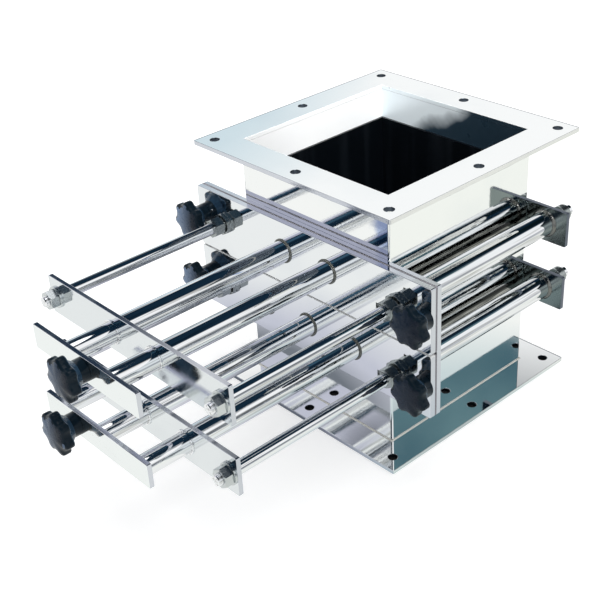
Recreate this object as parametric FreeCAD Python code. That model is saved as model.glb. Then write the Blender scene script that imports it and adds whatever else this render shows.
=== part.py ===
import FreeCAD, Part
import math
import os

# A drawer magnet for a square product chute. Two drawers of closed steel sleeves slide through
# wiped openings in the chute's front, and the magnet cores pull out of the sleeves for cleaning.
# Millimetres. The origin is the centre of the bottom flange's underside, +X points right,
# +Y to the back and +Z up. The drawers pull out towards -Y and are drawn pulled out.

Vector = FreeCAD.Vector

# Chute
chute_height = 305.0
flange_side = 300.0
flange_thickness = 5.0
flange_corner_radius = 2.0
flange_width = 40.0
wall_thickness = 3.0
liner_thickness = 3.0
liner_drop = 40.5
bolt_edge_distance = 17.0
bolt_hole_radius = 5.5

# Tiers of magnet tubes
lower_tier_height = 117.0
upper_tube_rise = 3.0
upper_tube_count = 2
lower_tube_count = 3
tube_pitch = 70.0

# Sleeves and the cores inside them
sleeve_radius = 12.5
sleeve_wall = 1.0
sleeve_end_thickness = 2.0
sleeve_tip_chamfer = 1.5
sleeve_lip_width = 1.0
sleeve_lip_thickness = 1.5
core_chamfer = 1.0
core_end_gap = 2.0
passage_gap = 2.5

# Fits
running_clearance = 0.05
thread_clearance = 0.25

# Front plates
frame_plate_thickness = 6.0
gasket_thickness = 2.0
cover_thickness = 7.0
cover_height = 76.0
cover_seam_gap = 2.0
cover_end_margin = 9.0
cover_corner_radius = 2.0
wiper_rim_width = 0.8
wiper_rim_thickness = 0.8
wiper_body_thickness = 1.0

# Straps
strap_thickness = 5.0
strap_corner_radius = 2.0
inner_strap_height = 44.0
inner_strap_end = 12.0
outer_strap_height = 28.0
outer_strap_end = 18.0
rear_strap_height = 42.0
rear_strap_end = 30.0

# Guide rods and what holds them
rod_radius = 7.0
rod_thread_radius = 6.0
rod_thread_past_nut = 4.0
rod_tail = 8.0
rod_chamfer = 0.8
nut_flats = 19.0
nut_height = 10.0
washer_radius = 12.0
washer_thickness = 2.5
collar_radius = 10.0
collar_length = 10.0
collar_screw_radius = 2.5
guide_tube_radius = 14.0
guide_tube_wall = 2.0
guide_tube_gap = 10.0
bush_radius = 9.0
bush_collar_length = 4.0

# Glands that carry the rods in the covers
gland_body_flats = 24.0
gland_body_height = 5.0
gland_spigot_radius = 9.0
gland_neck_radius = 8.0
gland_neck_gap = 2.0
gland_nut_flats = 20.0
gland_nut_height = 13.0
gland_nut_lip = 3.0

# Star knobs
knob_radius = 24.0
knob_valley_radius = 20.0
knob_lobe_radius = 5.0
knob_lobe_count = 7
knob_height = 29.5
knob_head_thickness = 13.0
knob_edge_radius = 3.0
knob_dome_height = 2.4
knob_cone_radius = 19.0
knob_cone_length = 8.0
knob_hub_radius = 12.5
knob_strap_gap = 1.0
clamp_stud_radius = 5.0
clamp_stud_engagement = 20.0
pull_screw_radius = 4.0
pull_screw_engagement = 14.0
pull_screw_head_radius = 7.5
pull_screw_socket_radius = 2.6
pull_screw_socket_depth = 2.2
bore_end_gap = 1.0

# Travel of the drawers and cores
tip_gap_pushed_in = 9.5
tip_inside_pulled_out = 3.0
strap_gap_pushed_in = 0.5
collar_gap_pulled_out = 22.0
core_pull = 52.0
core_gap_pushed_in = 0.5

# Planes from front to back, worked out from the sizes above
opening_side = flange_side - 2 * flange_width
wall_outside = opening_side / 2 + wall_thickness
liner_inside = opening_side / 2 - liner_thickness
frame_front = -wall_outside - frame_plate_thickness
gasket_front = frame_front - gasket_thickness
cover_front = gasket_front - cover_thickness
gland_front = cover_front - gland_body_height - gland_neck_gap - gland_nut_height
sleeve_tip = -liner_inside + tip_inside_pulled_out
drawer_travel = 2 * liner_inside - tip_gap_pushed_in - tip_inside_pulled_out
inner_strap_back = gland_front - strap_gap_pushed_in - drawer_travel
inner_strap_front = inner_strap_back - strap_thickness
outer_strap_back = inner_strap_front - core_pull
outer_strap_front = outer_strap_back - strap_thickness
core_travel = core_pull - sleeve_lip_thickness - core_gap_pushed_in
core_tip = sleeve_tip - sleeve_end_thickness - core_end_gap - core_travel
washer_front = inner_strap_front - washer_thickness
nut_front = washer_front - nut_height
rear_strap_back = wall_outside + strap_thickness
collar_start = rear_strap_back + collar_gap_pulled_out
collar_end = collar_start + collar_length
rod_end = collar_end + rod_tail

# Widths worked out from the sizes above
rod_reach = wall_outside + guide_tube_gap + guide_tube_radius
inner_strap_half = rod_reach + inner_strap_end
outer_strap_half = (lower_tube_count - 1) * tube_pitch / 2 + outer_strap_end
rear_strap_half = rod_reach + rear_strap_end
knob_reach = inner_strap_half + knob_strap_gap + knob_radius
cover_half = knob_reach + cover_end_margin
sleeve_bore = sleeve_radius - sleeve_wall
core_radius = sleeve_bore - running_clearance
passage_radius = sleeve_radius + passage_gap
wiper_seat_radius = sleeve_radius + running_clearance + wiper_body_thickness
rod_bore = rod_radius + running_clearance
guide_tube_bore = guide_tube_radius - guide_tube_wall
liner_top = chute_height - liner_drop
bolt_reach = flange_side / 2 - bolt_edge_distance
cover_seam_height = lower_tier_height + cover_height / 2 + cover_seam_gap / 2
upper_tier_height = cover_seam_height + cover_seam_gap / 2 + cover_height / 2 + upper_tube_rise
cover_edges = {
    "lower": (cover_seam_height - cover_seam_gap / 2 - cover_height, cover_seam_height - cover_seam_gap / 2),
    "upper": (cover_seam_height + cover_seam_gap / 2, cover_seam_height + cover_seam_gap / 2 + cover_height),
}
tier_heights = {"upper": upper_tier_height, "lower": lower_tier_height}
tube_counts = {"upper": upper_tube_count, "lower": lower_tube_count}
sides = {"left": -1, "right": 1}


def tube_places(tier):
    """The x of each magnet tube of a tier, from left to right."""
    count = tube_counts[tier]
    return [(number - (count - 1) / 2) * tube_pitch for number in range(count)]


def cylinder_along_y(x, z, radius, start, end):
    return Part.makeCylinder(radius, end - start, Vector(x, start, z), Vector(0, 1, 0))


def turned_along_y(x, z, outline):
    """A turned piece about the line through x and z, from a closed outline of (y, radius) points."""
    points = [Vector(x + radius, y, z) for y, radius in outline]
    face = Part.Face(Part.makePolygon(points + [points[0]]))
    return face.revolve(Vector(x, 0, z), Vector(0, 1, 0), 360)


def rounded(shape, axis, radius):
    """The plate with the four edges that run along the axis rounded."""
    def runs_along(edge):
        start, end = (vertex.Point for vertex in edge.Vertexes)
        return abs((end - start).normalize().dot(axis)) > 0.99
    return shape.makeFillet(radius, [edge for edge in shape.Edges if runs_along(edge)])


def plate_across_y(half_width, z_range, y_range, holes=(), corner_radius=0.0):
    """A flat plate that faces the front, with round holes given as (x, z, radius)."""
    low, high = z_range
    front, back = y_range
    plate = Part.makeBox(2 * half_width, back - front, high - low, Vector(-half_width, front, low))
    if corner_radius:
        plate = rounded(plate, Vector(0, 1, 0), corner_radius)
    cutters = [cylinder_along_y(x, z, radius, front, back) for x, z, radius in holes]
    return plate.cut(cutters) if cutters else plate


def hexagon_along_y(x, z, flats, start, end):
    """A hexagon bar with a corner up and both ends chamfered to its flats."""
    corner = flats / math.sqrt(3)
    points = []
    for number in range(6):
        angle = math.radians(90 + 60 * number)
        points.append(Vector(x + corner * math.cos(angle), start, z + corner * math.sin(angle)))
    bar = Part.Face(Part.makePolygon(points + [points[0]])).extrude(Vector(0, end - start, 0))
    chamfer = (corner - flats / 2) * 0.6
    blank = turned_along_y(x, z, [(start, 0), (start, flats / 2), (start + chamfer, corner),
                                  (end - chamfer, corner), (end, flats / 2), (end, 0)])
    return bar.common(blank)


def flange(bottom):
    """A square flange round the chute's opening, with three bolt holes along each side."""
    half = flange_side / 2
    plate = Part.makeBox(flange_side, flange_side, flange_thickness, Vector(-half, -half, bottom))
    plate = rounded(plate, Vector(0, 0, 1), flange_corner_radius)
    corner = Vector(-opening_side / 2, -opening_side / 2, bottom)
    cutters = [Part.makeBox(opening_side, opening_side, flange_thickness, corner)]
    for column in (-1, 0, 1):
        for row in (-1, 0, 1):
            if column or row:
                centre = Vector(column * bolt_reach, row * bolt_reach, bottom)
                cutters.append(Part.makeCylinder(bolt_hole_radius, flange_thickness, centre))
    return plate.cut(cutters)


def sleeve_holes(tiers=("upper", "lower")):
    """The clear holes that the sleeves pass through in the walls and plates."""
    return [(x, tier_heights[tier], passage_radius) for tier in tiers for x in tube_places(tier)]


def rod_holes(tier, radius):
    return [(side * rod_reach, tier_heights[tier], radius) for side in sides.values()]


def side_plate(side, inside, thickness, depth, z_range):
    """A flat wall or liner on the left or right of the chute."""
    low, high = z_range
    x = inside if side > 0 else -inside - thickness
    return Part.makeBox(thickness, 2 * depth, high - low, Vector(x, -depth, low))


def chute():
    """Flanges, the four welded walls and the four liner sheets."""
    wall_z = (flange_thickness, chute_height - flange_thickness)
    liner_z = (0.0, liner_top)
    wall_inside = opening_side / 2
    nodes = {
        "top_flange": flange(chute_height - flange_thickness),
        "bottom_flange": flange(0.0),
        "front_wall": plate_across_y(wall_inside, wall_z, (-wall_outside, -wall_inside), sleeve_holes()),
        "back_wall": plate_across_y(wall_inside, wall_z, (wall_inside, wall_outside)),
        "front_liner": plate_across_y(liner_inside, liner_z, (-wall_inside, -liner_inside), sleeve_holes()),
        "back_liner": plate_across_y(liner_inside, liner_z, (liner_inside, wall_inside)),
    }
    for name, side in sides.items():
        nodes[name + "_wall"] = side_plate(side, wall_inside, wall_thickness, wall_outside, wall_z)
        nodes[name + "_liner"] = side_plate(side, liner_inside, liner_thickness, wall_inside, liner_z)
    return nodes


def frame_plate():
    """The wide plate welded to the chute's front, which both covers clamp against."""
    holes = sleeve_holes()
    for tier, height in tier_heights.items():
        holes += rod_holes(tier, guide_tube_bore)
    z_range = (cover_edges["lower"][0], cover_edges["upper"][1])
    return plate_across_y(cover_half, z_range, (frame_front, -wall_outside), holes, cover_corner_radius)


def clamp_holes(tier):
    radius = clamp_stud_radius + thread_clearance
    return [(side * knob_reach, tier_heights[tier], radius) for side in sides.values()]


def gasket(tier):
    holes = sleeve_holes([tier]) + clamp_holes(tier) + rod_holes(tier, gland_spigot_radius)
    return plate_across_y(cover_half, cover_edges[tier], (gasket_front, frame_front), holes, cover_corner_radius)


def cover(tier):
    """A thick plate that carries the wiper rings, the rod glands and the clamp knobs."""
    holes = [(x, tier_heights[tier], wiper_seat_radius) for x in tube_places(tier)]
    holes += clamp_holes(tier) + rod_holes(tier, gland_spigot_radius)
    return plate_across_y(cover_half, cover_edges[tier], (cover_front, gasket_front), holes, cover_corner_radius)


def wiper_ring(x, z):
    """A collar pressed into the cover that wipes the sleeve as it slides."""
    bore = sleeve_radius + running_clearance
    rim = wiper_seat_radius + wiper_rim_width
    rim_front = cover_front - wiper_rim_thickness
    return turned_along_y(x, z, [(rim_front, bore), (rim_front, rim), (cover_front, rim),
                                 (cover_front, wiper_seat_radius), (gasket_front, wiper_seat_radius),
                                 (gasket_front, bore)])


def gland_body(x, z):
    """A hexagon body screwed into the cover, with a neck for the gland nut."""
    body_front = cover_front - gland_body_height
    neck_front = gland_front + gland_nut_lip
    body = hexagon_along_y(x, z, gland_body_flats, body_front, cover_front)
    spigot = cylinder_along_y(x, z, gland_spigot_radius, cover_front, frame_front)
    neck = cylinder_along_y(x, z, gland_neck_radius, neck_front, body_front)
    return body.fuse([spigot, neck]).cut(cylinder_along_y(x, z, rod_bore, neck_front, frame_front))


def gland_nut(x, z):
    """The nut that closes the gland on the rod."""
    nut_back = gland_front + gland_nut_height
    nut = hexagon_along_y(x, z, gland_nut_flats, gland_front, nut_back)
    neck_room = cylinder_along_y(x, z, gland_neck_radius, gland_front + gland_nut_lip, nut_back)
    rod_room = cylinder_along_y(x, z, rod_bore + thread_clearance, gland_front, nut_back)
    return nut.cut([neck_room, rod_room])


def clamp_stud(x, z):
    """A stud welded to the frame plate, which a clamp knob screws onto."""
    tip = cover_front - clamp_stud_engagement
    root = clamp_stud_radius - rod_chamfer
    return turned_along_y(x, z, [(tip, 0), (tip, root), (tip + rod_chamfer, clamp_stud_radius),
                                 (frame_front, clamp_stud_radius), (frame_front, 0)])


def guide_tube(x, z):
    """The tube beside the chute that a guide rod runs inside."""
    outline = [(-wall_outside, guide_tube_bore), (-wall_outside, guide_tube_radius),
               (wall_outside, guide_tube_radius), (wall_outside, guide_tube_bore)]
    return turned_along_y(x, z, outline)


def rear_strap(tier):
    height = tier_heights[tier]
    z_range = (height - rear_strap_height / 2, height + rear_strap_height / 2)
    holes = rod_holes(tier, bush_radius)
    return plate_across_y(rear_strap_half, z_range, (wall_outside, rear_strap_back), holes, strap_corner_radius)


def rear_bush(x, z):
    """The bush in a rear strap that carries the rod's rear end."""
    collar_front = wall_outside - bush_collar_length
    collar = guide_tube_bore - thread_clearance
    outline = [(collar_front, rod_bore), (collar_front, collar), (wall_outside, collar),
               (wall_outside, bush_radius), (rear_strap_back, bush_radius), (rear_strap_back, rod_bore)]
    return turned_along_y(x, z, outline)


def inner_strap(tier):
    """The drawer's front strap, which the sleeves are welded through and the rods are bolted to."""
    height = tier_heights[tier]
    z_range = (height - inner_strap_height / 2, height + inner_strap_height / 2)
    holes = [(x, height, sleeve_radius) for x in tube_places(tier)]
    holes += rod_holes(tier, rod_thread_radius + thread_clearance)
    y_range = (inner_strap_front, inner_strap_back)
    return plate_across_y(inner_strap_half, z_range, y_range, holes, strap_corner_radius)


def sleeve(x, z):
    """A closed tube with a lip at its open end, flush with the strap's front."""
    lip_front = inner_strap_front - sleeve_lip_thickness
    lip = sleeve_radius + sleeve_lip_width
    bottom = sleeve_tip - sleeve_end_thickness
    outline = [(lip_front, sleeve_bore), (lip_front, lip), (inner_strap_front, lip),
               (inner_strap_front, sleeve_radius), (sleeve_tip - sleeve_tip_chamfer, sleeve_radius),
               (sleeve_tip, sleeve_radius - sleeve_tip_chamfer), (sleeve_tip, 0), (bottom, 0),
               (bottom, sleeve_bore)]
    return turned_along_y(x, z, outline)


def guide_rod(x, z):
    """A rod with a threaded front end that shoulders on the back of the inner strap."""
    front = nut_front - rod_thread_past_nut
    outline = [(front, 0), (front, rod_thread_radius - rod_chamfer), (front + rod_chamfer, rod_thread_radius),
               (inner_strap_back, rod_thread_radius), (inner_strap_back, rod_radius),
               (rod_end - rod_chamfer, rod_radius), (rod_end, rod_radius - rod_chamfer), (rod_end, 0)]
    return turned_along_y(x, z, outline)


def rod_nut(x, z):
    nut = hexagon_along_y(x, z, nut_flats, nut_front, washer_front)
    return nut.cut(cylinder_along_y(x, z, rod_thread_radius, nut_front, washer_front))


def rod_washer(x, z):
    washer = cylinder_along_y(x, z, washer_radius, washer_front, inner_strap_front)
    hole = cylinder_along_y(x, z, rod_thread_radius + thread_clearance, washer_front, inner_strap_front)
    return washer.cut(hole)


def stop_collar(x, z):
    """The collar that stops the rod at the rear strap, with its set screw hole on top."""
    collar = cylinder_along_y(x, z, collar_radius, collar_start, collar_end)
    middle = (collar_start + collar_end) / 2
    screw_hole = Part.makeCylinder(collar_screw_radius, collar_radius, Vector(x, middle, z))
    return collar.cut([cylinder_along_y(x, z, rod_radius, collar_start, collar_end), screw_hole])


def outer_strap(tier):
    """The strap that carries the magnet cores, countersunk at the back for the knob's screw."""
    height = tier_heights[tier]
    z_range = (height - outer_strap_height / 2, height + outer_strap_height / 2)
    y_range = (outer_strap_front, outer_strap_back)
    plate = plate_across_y(outer_strap_half, z_range, y_range, corner_radius=strap_corner_radius)
    return plate.cut(pull_screw_blank(pull_knob_places[tier], height))


def magnet_core(x, z):
    """A rod of magnets sealed in its own thin tube, fixed to the back of the outer strap."""
    return turned_along_y(x, z, [(outer_strap_back, 0), (outer_strap_back, core_radius),
                                 (core_tip - core_chamfer, core_radius),
                                 (core_tip, core_radius - core_chamfer), (core_tip, 0)])


def pull_screw_blank(x, z):
    """The countersunk screw's outside, from the back of the outer strap into the pull knob."""
    tip = outer_strap_front - pull_screw_engagement
    cone = pull_screw_head_radius - pull_screw_radius
    outline = [(tip, 0), (tip, pull_screw_radius), (outer_strap_back - cone, pull_screw_radius),
               (outer_strap_back, pull_screw_head_radius), (outer_strap_back, 0)]
    return turned_along_y(x, z, outline)


def pull_screw(x, z):
    socket_front = outer_strap_back - pull_screw_socket_depth
    socket_flats = 2 * pull_screw_socket_radius * math.cos(math.pi / 6)
    socket = hexagon_along_y(x, z, socket_flats, socket_front, outer_strap_back)
    return pull_screw_blank(x, z).cut(socket)


def star_outline():
    """The knob's outline: round lobes joined by tangent valleys, one lobe towards +Y."""
    half_step = math.pi / knob_lobe_count
    lobe_centre = knob_radius - knob_lobe_radius
    spread = lobe_centre * math.cos(half_step)
    valley_radius = lobe_centre ** 2 + knob_valley_radius ** 2 - 2 * spread * knob_valley_radius
    valley_radius = (valley_radius - knob_lobe_radius ** 2) / (2 * (knob_lobe_radius + spread - knob_valley_radius))
    valley_centre = knob_valley_radius + valley_radius

    def polar(radius, angle):
        return Vector(radius * math.cos(angle), radius * math.sin(angle), 0)

    def meeting_point(lobe_angle, valley_angle):
        lobe = polar(lobe_centre, lobe_angle)
        towards_valley = (polar(valley_centre, valley_angle) - lobe).normalize()
        return lobe + towards_valley * knob_lobe_radius

    edges = []
    for number in range(knob_lobe_count):
        angle = math.pi / 2 + 2 * half_step * number
        before = meeting_point(angle, angle - half_step)
        after = meeting_point(angle, angle + half_step)
        following = meeting_point(angle + 2 * half_step, angle + half_step)
        edges.append(Part.Arc(before, polar(knob_radius, angle), after).toShape())
        edges.append(Part.Arc(after, polar(knob_valley_radius, angle + half_step), following).toShape())
    return Part.Wire(edges)


def star_knob(x, seat, z, bore_radius, bore_depth):
    """A moulded star knob whose hub rests on the plane y = seat and whose face looks to -Y."""
    head_back = knob_height - knob_head_thickness
    head_edge = knob_height - knob_dome_height
    star = Part.Face(star_outline()).extrude(Vector(0, 0, knob_height - head_back))
    star.translate(Vector(0, 0, head_back))
    dome_radius = (knob_radius ** 2 + knob_dome_height ** 2) / (2 * knob_dome_height)
    rim = head_edge - knob_edge_radius
    edge_bend = Vector(knob_radius - knob_edge_radius * (1 - math.cos(math.pi / 4)), 0,
                       rim + knob_edge_radius * math.sin(math.pi / 4))
    dome_edge = Vector(knob_radius - knob_edge_radius, 0, head_edge)
    half_way = (knob_radius - knob_edge_radius) / 2
    dome_bend = Vector(half_way, 0, knob_height - dome_radius + math.sqrt(dome_radius ** 2 - half_way ** 2))
    corner = Vector(knob_radius, 0, rim)
    top = Vector(0, 0, knob_height)
    foot = Vector(knob_radius, 0, 0)
    outline = Part.Wire([Part.makeLine(Vector(0, 0, 0), foot), Part.makeLine(foot, corner),
                         Part.Arc(corner, edge_bend, dome_edge).toShape(),
                         Part.Arc(dome_edge, dome_bend, top).toShape(),
                         Part.makeLine(top, Vector(0, 0, 0))])
    blank = Part.Face(outline).revolve(Vector(0, 0, 0), Vector(0, 0, 1), 360)
    cone = Part.makeCone(knob_hub_radius, knob_cone_radius, knob_cone_length,
                         Vector(0, 0, head_back - knob_cone_length))
    hub = Part.makeCylinder(knob_hub_radius, head_back)
    knob = star.common(blank).fuse([cone, hub])
    knob = knob.cut(Part.makeCylinder(bore_radius, bore_depth)).removeSplitter()
    knob.rotate(Vector(0, 0, 0), Vector(1, 0, 0), 90)
    knob.translate(Vector(x, seat, z))
    return knob


# The lower pull knob sits between two tubes, so that it stays clear of the middle one
pull_knob_places = {"upper": 0.0, "lower": -tube_pitch / 2}


def housing():
    """Everything that stays with the chute, apart from the knobs."""
    nodes = chute()
    nodes["frame_plate"] = frame_plate()
    rod_lines = [(side * rod_reach, height) for height in tier_heights.values() for side in sides.values()]
    stud_lines = [(side * knob_reach, height) for height in tier_heights.values() for side in sides.values()]
    sleeve_lines = [(x, height) for tier, height in tier_heights.items() for x in tube_places(tier)]
    for tier, height in tier_heights.items():
        nodes[tier + "_gasket"] = gasket(tier)
        nodes[tier + "_cover"] = cover(tier)
        nodes[tier + "_rear_strap"] = rear_strap(tier)
        for name, side in sides.items():
            nodes[tier + "_" + name + "_guide_tube"] = guide_tube(side * rod_reach, height)
    nodes["wiper_rings"] = Part.makeCompound([wiper_ring(x, z) for x, z in sleeve_lines])
    nodes["gland_bodies"] = Part.makeCompound([gland_body(x, z) for x, z in rod_lines])
    nodes["gland_nuts"] = Part.makeCompound([gland_nut(x, z) for x, z in rod_lines])
    nodes["clamp_studs"] = Part.makeCompound([clamp_stud(x, z) for x, z in stud_lines])
    nodes["rear_bushes"] = Part.makeCompound([rear_bush(x, z) for x, z in rod_lines])
    return nodes


def clamp_knobs():
    nodes = {}
    bore_depth = clamp_stud_engagement + bore_end_gap
    for tier, height in tier_heights.items():
        for name, side in sides.items():
            knob = star_knob(side * knob_reach, cover_front, height,
                             clamp_stud_radius + running_clearance, bore_depth)
            nodes[tier + "_" + name + "_clamp_knob"] = knob
    return nodes


def drawer(tier):
    """The sliding frame of one tier: strap, sleeves, guide rods and their fasteners."""
    height = tier_heights[tier]
    nodes = {tier + "_inner_strap": inner_strap(tier)}
    for number, x in enumerate(tube_places(tier), start=1):
        nodes[tier + "_sleeve_" + str(number)] = sleeve(x, height)
    for name, side in sides.items():
        nodes[tier + "_" + name + "_guide_rod"] = guide_rod(side * rod_reach, height)
    places = [side * rod_reach for side in sides.values()]
    nodes[tier + "_rod_nuts"] = Part.makeCompound([rod_nut(x, height) for x in places])
    nodes[tier + "_rod_washers"] = Part.makeCompound([rod_washer(x, height) for x in places])
    nodes[tier + "_stop_collars"] = Part.makeCompound([stop_collar(x, height) for x in places])
    return nodes


def core_carrier(tier):
    """What pulls out of one drawer: outer strap, magnet cores, pull knob and its screw."""
    height = tier_heights[tier]
    knob_place = pull_knob_places[tier]
    nodes = {tier + "_outer_strap": outer_strap(tier)}
    for number, x in enumerate(tube_places(tier), start=1):
        nodes[tier + "_magnet_core_" + str(number)] = magnet_core(x, height)
    bore_depth = pull_screw_engagement + bore_end_gap
    nodes[tier + "_pull_knob"] = star_knob(knob_place, outer_strap_front, height, pull_screw_radius, bore_depth)
    nodes[tier + "_pull_screw"] = pull_screw(knob_place, height)
    return nodes


def main():
    nodes = housing()
    nodes.update(clamp_knobs())
    for tier in tier_heights:
        nodes.update(drawer(tier))
        nodes.update(core_carrier(tier))
    os.makedirs("parts", exist_ok=True)
    for name, shape in nodes.items():
        if not shape.isValid():
            raise ValueError(name + " is not a valid shape")
        shape.exportStep(os.path.join("parts", name + ".step"))
    print(len(nodes), "nodes")
    print("drawer travel", drawer_travel, "and back", collar_gap_pulled_out)
    print("core travel", core_travel)


main()
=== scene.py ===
import math

import bmesh
import bpy
from mathutils import Matrix, Vector


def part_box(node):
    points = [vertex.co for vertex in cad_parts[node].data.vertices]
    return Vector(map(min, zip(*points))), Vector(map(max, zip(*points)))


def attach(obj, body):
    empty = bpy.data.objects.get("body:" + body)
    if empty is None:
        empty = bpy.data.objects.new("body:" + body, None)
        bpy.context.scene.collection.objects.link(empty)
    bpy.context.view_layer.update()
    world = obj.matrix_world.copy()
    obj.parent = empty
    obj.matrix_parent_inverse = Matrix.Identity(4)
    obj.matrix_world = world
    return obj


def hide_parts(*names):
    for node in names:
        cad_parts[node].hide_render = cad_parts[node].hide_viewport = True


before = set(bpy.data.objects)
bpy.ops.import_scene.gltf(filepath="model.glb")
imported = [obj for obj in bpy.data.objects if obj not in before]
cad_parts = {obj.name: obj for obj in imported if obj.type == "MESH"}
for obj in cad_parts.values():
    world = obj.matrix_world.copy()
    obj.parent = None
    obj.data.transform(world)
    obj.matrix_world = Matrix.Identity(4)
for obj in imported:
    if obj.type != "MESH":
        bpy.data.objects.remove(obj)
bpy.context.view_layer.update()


# Flanges
# Two square stainless plates, one welded on each end of the chute. Each has a square opening and
# eight bolt holes. The faces are buffed to a mirror, and the cut edges are left duller.

def new_group(name, inputs, outputs):
    """A shader node group with the named number inputs and outputs."""
    group = bpy.data.node_groups.new(name, "ShaderNodeTree")
    for label, value in inputs.items():
        socket = group.interface.new_socket(name=label, in_out="INPUT", socket_type="NodeSocketFloat")
        socket.default_value = value
    for label in outputs:
        group.interface.new_socket(name=label, in_out="OUTPUT", socket_type="NodeSocketFloat")
    group.nodes.new("NodeGroupInput")
    group.nodes.new("NodeGroupOutput")
    return group


def add_math(tree, operation, *values):
    """A Math node on sockets or plain numbers."""
    node = tree.nodes.new("ShaderNodeMath")
    node.operation = operation
    for number, value in enumerate(values):
        if isinstance(value, bpy.types.NodeSocket):
            tree.links.new(value, node.inputs[number])
        else:
            node.inputs[number].default_value = value
    return node.outputs[0]


def add_stretch(tree, place, scale):
    """The places with each axis stretched by its own factor."""
    mapping = tree.nodes.new("ShaderNodeMapping")
    mapping.inputs["Scale"].default_value = scale
    tree.links.new(place, mapping.inputs["Vector"])
    return mapping.outputs["Vector"]


def add_noise(tree, place, scale, detail=3.0):
    """The value of a noise texture at the given places."""
    noise = tree.nodes.new("ShaderNodeTexNoise")
    noise.inputs["Scale"].default_value = scale
    noise.inputs["Detail"].default_value = detail
    tree.links.new(place, noise.inputs["Vector"])
    return noise.outputs["Fac"]


def add_range(tree, value, low, high, new_low=0.0, new_high=1.0):
    """A value mapped from one range to another, which may be sockets."""
    ranged = tree.nodes.new("ShaderNodeMapRange")
    tree.links.new(value, ranged.inputs["Value"])
    ranged.inputs["From Min"].default_value = low
    ranged.inputs["From Max"].default_value = high
    for label, number in (("To Min", new_low), ("To Max", new_high)):
        if isinstance(number, bpy.types.NodeSocket):
            tree.links.new(number, ranged.inputs[label])
        else:
            ranged.inputs[label].default_value = number
    return ranged.outputs["Result"]


def add_mix(tree, share, first, second):
    """A colour mixed from two, which are sockets or plain colours."""
    mix = tree.nodes.new("ShaderNodeMix")
    mix.data_type = "RGBA"
    for number, value in ((0, share), (6, first), (7, second)):
        if isinstance(value, bpy.types.NodeSocket):
            tree.links.new(value, mix.inputs[number])
        elif number == 0:
            mix.inputs[number].default_value = value
        else:
            mix.inputs[number].default_value = (*value, 1)
    return mix.outputs[2]


def split_place(tree, place):
    """The x, y and z sockets of a place."""
    node = tree.nodes.new("ShaderNodeSeparateXYZ")
    tree.links.new(place, node.inputs[0])
    return node.outputs


def new_material(name):
    """A new material, its shader and the socket with the places on the object."""
    material = bpy.data.materials.new(name)
    material.use_nodes = True
    shader = material.node_tree.nodes["Principled BSDF"]
    place = material.node_tree.nodes.new("ShaderNodeTexCoord").outputs["Object"]
    return material, shader, place


def places_on(material):
    """The socket with the places on the object."""
    return material.node_tree.nodes["Texture Coordinate"].outputs["Object"]


def tint(material, mask, colour):
    """Mixes a colour into the material's own colour where the mask is 1."""
    tree = material.node_tree
    base = tree.nodes["Principled BSDF"].inputs["Base Color"]
    tree.links.new(add_mix(tree, mask, base.links[0].from_socket, colour), base)


buffing = new_group("Buffing", {"Gloss": 0.04, "Smears": 0.04, "Streaks": 0.3, "Waves": 0.5},
                    ("Roughness", "Height", "Tarnish"))
buffing_place = buffing.nodes.new("ShaderNodeTexCoord").outputs["Object"]
buffing_in = buffing.nodes["Group Input"].outputs
buffing_out = buffing.nodes["Group Output"].inputs
smears = add_range(buffing, add_noise(buffing, buffing_place, 30), 0.45, 0.7)
smeared = add_math(buffing, "MULTIPLY", smears, buffing_in["Smears"])
buffing.links.new(add_math(buffing, "ADD", smeared, buffing_in["Gloss"]), buffing_out["Roughness"])
streaks = add_noise(buffing, add_stretch(buffing, buffing_place, (40, 40, 1500)), 1.0, 4.0)
waves = add_noise(buffing, buffing_place, 8, 1.0)
streak_height = add_math(buffing, "MULTIPLY", streaks, buffing_in["Streaks"])
wave_height = add_math(buffing, "MULTIPLY", waves, buffing_in["Waves"])
buffing.links.new(add_math(buffing, "ADD", streak_height, wave_height), buffing_out["Height"])
tarnish = add_range(buffing, add_noise(buffing, buffing_place, 11, 5.0), 0.5, 0.8)
buffing.links.new(tarnish, buffing_out["Tarnish"])


def steel_finish(name, colour, tarnished, gloss, smears, streaks, waves, metallic=1.0):
    """Steel with the buffing group's uneven gloss, fine streaks and faint waviness."""
    material, shader = new_material(name)[:2]
    tree = material.node_tree
    shader.inputs["Metallic"].default_value = metallic
    buffed = tree.nodes.new("ShaderNodeGroup")
    buffed.node_tree = buffing
    for label, value in (("Gloss", gloss), ("Smears", smears), ("Streaks", streaks), ("Waves", waves)):
        buffed.inputs[label].default_value = value
    tree.links.new(buffed.outputs["Roughness"], shader.inputs["Roughness"])
    bump = tree.nodes.new("ShaderNodeBump")
    bump.inputs["Strength"].default_value = 0.05
    bump.inputs["Distance"].default_value = 0.001
    tree.links.new(buffed.outputs["Height"], bump.inputs["Height"])
    tree.links.new(bump.outputs["Normal"], shader.inputs["Normal"])
    tree.links.new(add_mix(tree, buffed.outputs["Tarnish"], colour, tarnished), shader.inputs["Base Color"])
    return material


def mirror_finish(name):
    """Sheet steel buffed to a mirror."""
    return steel_finish(name, (0.95, 0.96, 0.96), (0.89, 0.91, 0.92), 0.03, 0.03, 0.2, 0.5)


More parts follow.
